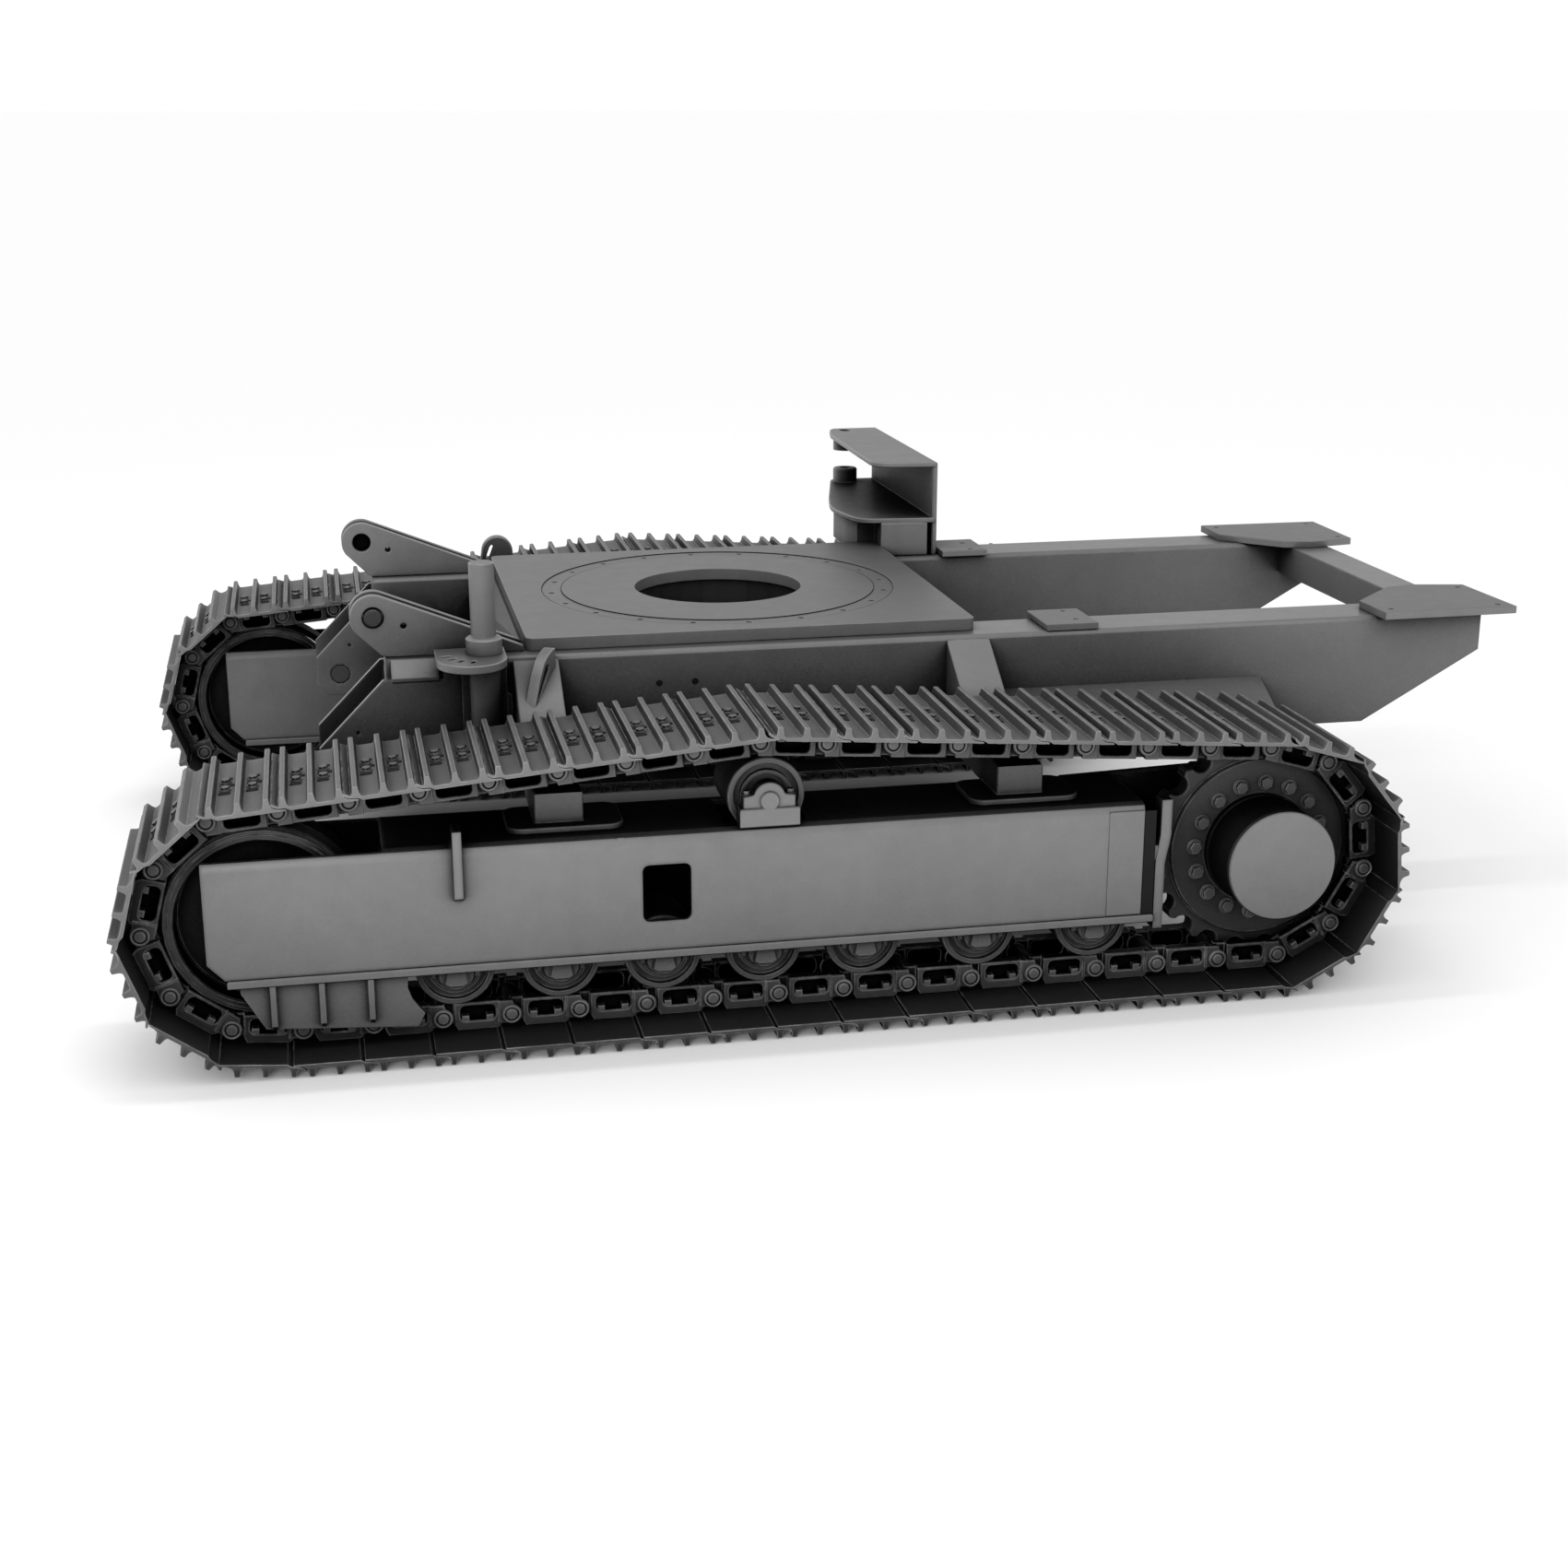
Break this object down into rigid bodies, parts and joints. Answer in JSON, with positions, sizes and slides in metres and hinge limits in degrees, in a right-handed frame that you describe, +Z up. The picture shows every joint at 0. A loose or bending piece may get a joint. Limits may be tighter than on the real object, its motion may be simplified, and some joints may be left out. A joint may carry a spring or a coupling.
{
  "type": "crawler undercarriage",
  "caption": "Steel crawler undercarriage: two chain tracks with sprockets, rollers and sprung idlers joined by a welded frame with a turntable plate.",
  "frame": {"origin": "middle of the bounding box on the ground plane, under the point halfway along the machine and midway between the tracks", "axes": "+X towards the drive sprockets and the frame's tail, +Y towards the far track (the one with the tower bracket), +Z up; z = 0 is the ground under the grousers"},
  "size_m": [3.9086, 2.651, 1.163],
  "materials": {
    "frame_paint": "satin grey paint over rolled plate, edges rubbed bright",
    "machined_plate": "satin grey with a machined seat ring",
    "motor_paint": "dark satin paint on castings",
    "spring_paint": "dark enamel on coil spring",
    "cast_drive": "painted casting with polished tooth flanks",
    "roller_steel": "forged steel with polished treads",
    "worn_steel": "bright worn running surface",
    "chain_steel": "forged links, satin dark grey",
    "shoe_steel": "rolled shoe section, satin grey"
  },
  "bodies": {
    "root": {"track_frame_near": "frame_paint", "roller_mount_near": "frame_paint", "rock_guard_near": "frame_paint", "carrier_bracket_near": "frame_paint", "travel_motor_near": "motor_paint", "recoil_spring_near": "spring_paint", "link_chain_near": "chain_steel", "shoe_band_near": "shoe_steel", "track_frame_far": "frame_paint", "roller_mount_far": "frame_paint", "rock_guard_far": "frame_paint", "carrier_bracket_far": "frame_paint", "travel_motor_far": "motor_paint", "recoil_spring_far": "spring_paint", "link_chain_far": "chain_steel", "shoe_band_far": "shoe_steel", "turntable_plate": "machined_plate", "centre_frame": "frame_paint", "main_beam_near": "frame_paint", "corner_plate_near": "frame_paint", "mounting_pad_near": "frame_paint", "front_arm_near": "frame_paint", "rear_arm_near": "frame_paint", "pivot_ear_near": "frame_paint", "main_beam_far": "frame_paint", "corner_plate_far": "frame_paint", "mounting_pad_far": "frame_paint", "front_arm_far": "frame_paint", "rear_arm_far": "frame_paint", "pivot_ear_far": "frame_paint", "pivot_pin": "worn_steel", "rear_cross_beam": "frame_paint", "post_base": "frame_paint", "tower_bracket": "frame_paint", "hose_cover": "frame_paint"},
    "drive_near": {"sprocket_near": "cast_drive", "final_drive_near": "frame_paint"},
    "yoke_near": {"idler_yoke_near": "roller_steel"},
    "idler_wheel_near": {"idler_near": "worn_steel"},
    "roller_near_1": {"track_roller_near_1": "roller_steel"},
    "roller_near_2": {"track_roller_near_2": "roller_steel"},
    "roller_near_3": {"track_roller_near_3": "roller_steel"},
    "roller_near_4": {"track_roller_near_4": "roller_steel"},
    "roller_near_5": {"track_roller_near_5": "roller_steel"},
    "roller_near_6": {"track_roller_near_6": "roller_steel"},
    "roller_near_7": {"track_roller_near_7": "roller_steel"},
    "carrier_near": {"carrier_roller_near": "roller_steel"},
    "drive_far": {"sprocket_far": "cast_drive", "final_drive_far": "frame_paint"},
    "yoke_far": {"idler_yoke_far": "roller_steel"},
    "idler_wheel_far": {"idler_far": "worn_steel"},
    "roller_far_1": {"track_roller_far_1": "roller_steel"},
    "roller_far_2": {"track_roller_far_2": "roller_steel"},
    "roller_far_3": {"track_roller_far_3": "roller_steel"},
    "roller_far_4": {"track_roller_far_4": "roller_steel"},
    "roller_far_5": {"track_roller_far_5": "roller_steel"},
    "roller_far_6": {"track_roller_far_6": "roller_steel"},
    "roller_far_7": {"track_roller_far_7": "roller_steel"},
    "carrier_far": {"carrier_roller_far": "roller_steel"},
    "post": {"swivel_post": "frame_paint"}
  },
  "joints": [
    {"name": "drive_spin_near", "type": "hinge", "parent": "root", "child": "drive_near", "pos_m": [1.00165, -1.1005, 0.3647], "axis": [0, 1, 0], "continuous": true},
    {"name": "recoil_slide_near", "type": "slide", "parent": "root", "child": "yoke_near", "axis": [1, 0, 0], "range_m": [0, 0.05], "stiffness_N_per_m": 200000, "springref_m": -0.05},
    {"name": "idler_spin_near", "type": "hinge", "parent": "yoke_near", "child": "idler_wheel_near", "pos_m": [-1.60024, -1.1005, 0.3622], "axis": [0, 1, 0], "continuous": true},
    {"name": "roller_spin_near_1", "type": "hinge", "parent": "root", "child": "roller_near_1", "pos_m": [-1.13975, -1.1005, 0.209], "axis": [0, 1, 0], "continuous": true},
    {"name": "roller_spin_near_2", "type": "hinge", "parent": "root", "child": "roller_near_2", "pos_m": [-0.87774, -1.1005, 0.209], "axis": [0, 1, 0], "continuous": true},
    {"name": "roller_spin_near_3", "type": "hinge", "parent": "root", "child": "roller_near_3", "pos_m": [-0.61774, -1.1005, 0.209], "axis": [0, 1, 0], "continuous": true},
    {"name": "roller_spin_near_4", "type": "hinge", "parent": "root", "child": "roller_near_4", "pos_m": [-0.35774, -1.1005, 0.209], "axis": [0, 1, 0], "continuous": true},
    {"name": "roller_spin_near_5", "type": "hinge", "parent": "root", "child": "roller_near_5", "pos_m": [-0.09574, -1.1005, 0.209], "axis": [0, 1, 0], "continuous": true},
    {"name": "roller_spin_near_6", "type": "hinge", "parent": "root", "child": "roller_near_6", "pos_m": [0.21225, -1.1005, 0.209], "axis": [0, 1, 0], "continuous": true},
    {"name": "roller_spin_near_7", "type": "hinge", "parent": "root", "child": "roller_near_7", "pos_m": [0.52126, -1.1005, 0.209], "axis": [0, 1, 0], "continuous": true},
    {"name": "carrier_spin_near", "type": "hinge", "parent": "root", "child": "carrier_near", "pos_m": [-0.34974, -1.1005, 0.6095], "axis": [0, 1, 0], "continuous": true},
    {"name": "drive_spin_far", "type": "hinge", "parent": "root", "child": "drive_far", "pos_m": [1.00165, 1.1005, 0.3647], "axis": [0, 1, 0], "continuous": true},
    {"name": "recoil_slide_far", "type": "slide", "parent": "root", "child": "yoke_far", "axis": [1, 0, 0], "range_m": [0, 0.05], "stiffness_N_per_m": 200000, "springref_m": -0.05},
    {"name": "idler_spin_far", "type": "hinge", "parent": "yoke_far", "child": "idler_wheel_far", "pos_m": [-1.60024, 1.1005, 0.3622], "axis": [0, 1, 0], "continuous": true},
    {"name": "roller_spin_far_1", "type": "hinge", "parent": "root", "child": "roller_far_1", "pos_m": [-1.13975, 1.1005, 0.209], "axis": [0, 1, 0], "continuous": true},
    {"name": "roller_spin_far_2", "type": "hinge", "parent": "root", "child": "roller_far_2", "pos_m": [-0.87774, 1.1005, 0.209], "axis": [0, 1, 0], "continuous": true},
    {"name": "roller_spin_far_3", "type": "hinge", "parent": "root", "child": "roller_far_3", "pos_m": [-0.61774, 1.1005, 0.209], "axis": [0, 1, 0], "continuous": true},
    {"name": "roller_spin_far_4", "type": "hinge", "parent": "root", "child": "roller_far_4", "pos_m": [-0.35774, 1.1005, 0.209], "axis": [0, 1, 0], "continuous": true},
    {"name": "roller_spin_far_5", "type": "hinge", "parent": "root", "child": "roller_far_5", "pos_m": [-0.09574, 1.1005, 0.209], "axis": [0, 1, 0], "continuous": true},
    {"name": "roller_spin_far_6", "type": "hinge", "parent": "root", "child": "roller_far_6", "pos_m": [0.21225, 1.1005, 0.209], "axis": [0, 1, 0], "continuous": true},
    {"name": "roller_spin_far_7", "type": "hinge", "parent": "root", "child": "roller_far_7", "pos_m": [0.52126, 1.1005, 0.209], "axis": [0, 1, 0], "continuous": true},
    {"name": "carrier_spin_far", "type": "hinge", "parent": "root", "child": "carrier_far", "pos_m": [-0.34974, 1.1005, 0.6095], "axis": [0, 1, 0], "continuous": true},
    {"name": "post_swivel", "type": "hinge", "parent": "root", "child": "post", "pos_m": [-1.00274, -0.692, 0.9], "axis": [0, 0, 1], "range_deg": [-60, 60]}
  ],
  "couplings": [
    {"joint": "idler_spin_near", "follows": "drive_spin_near", "ratio": 1.0091},
    {"joint": "roller_spin_near_1", "follows": "drive_spin_near", "ratio": 2.9086},
    {"joint": "roller_spin_near_2", "follows": "drive_spin_near", "ratio": 2.9086},
    {"joint": "roller_spin_near_3", "follows": "drive_spin_near", "ratio": 2.9086},
    {"joint": "roller_spin_near_4", "follows": "drive_spin_near", "ratio": 2.9086},
    {"joint": "roller_spin_near_5", "follows": "drive_spin_near", "ratio": 2.9086},
    {"joint": "roller_spin_near_6", "follows": "drive_spin_near", "ratio": 2.9086},
    {"joint": "roller_spin_near_7", "follows": "drive_spin_near", "ratio": 2.9086},
    {"joint": "carrier_spin_near", "follows": "drive_spin_near", "ratio": 2.8939},
    {"joint": "idler_spin_far", "follows": "drive_spin_far", "ratio": 1.0091},
    {"joint": "roller_spin_far_1", "follows": "drive_spin_far", "ratio": 2.9086},
    {"joint": "roller_spin_far_2", "follows": "drive_spin_far", "ratio": 2.9086},
    {"joint": "roller_spin_far_3", "follows": "drive_spin_far", "ratio": 2.9086},
    {"joint": "roller_spin_far_4", "follows": "drive_spin_far", "ratio": 2.9086},
    {"joint": "roller_spin_far_5", "follows": "drive_spin_far", "ratio": 2.9086},
    {"joint": "roller_spin_far_6", "follows": "drive_spin_far", "ratio": 2.9086},
    {"joint": "roller_spin_far_7", "follows": "drive_spin_far", "ratio": 2.9086},
    {"joint": "carrier_spin_far", "follows": "drive_spin_far", "ratio": 2.8939}
  ]
}
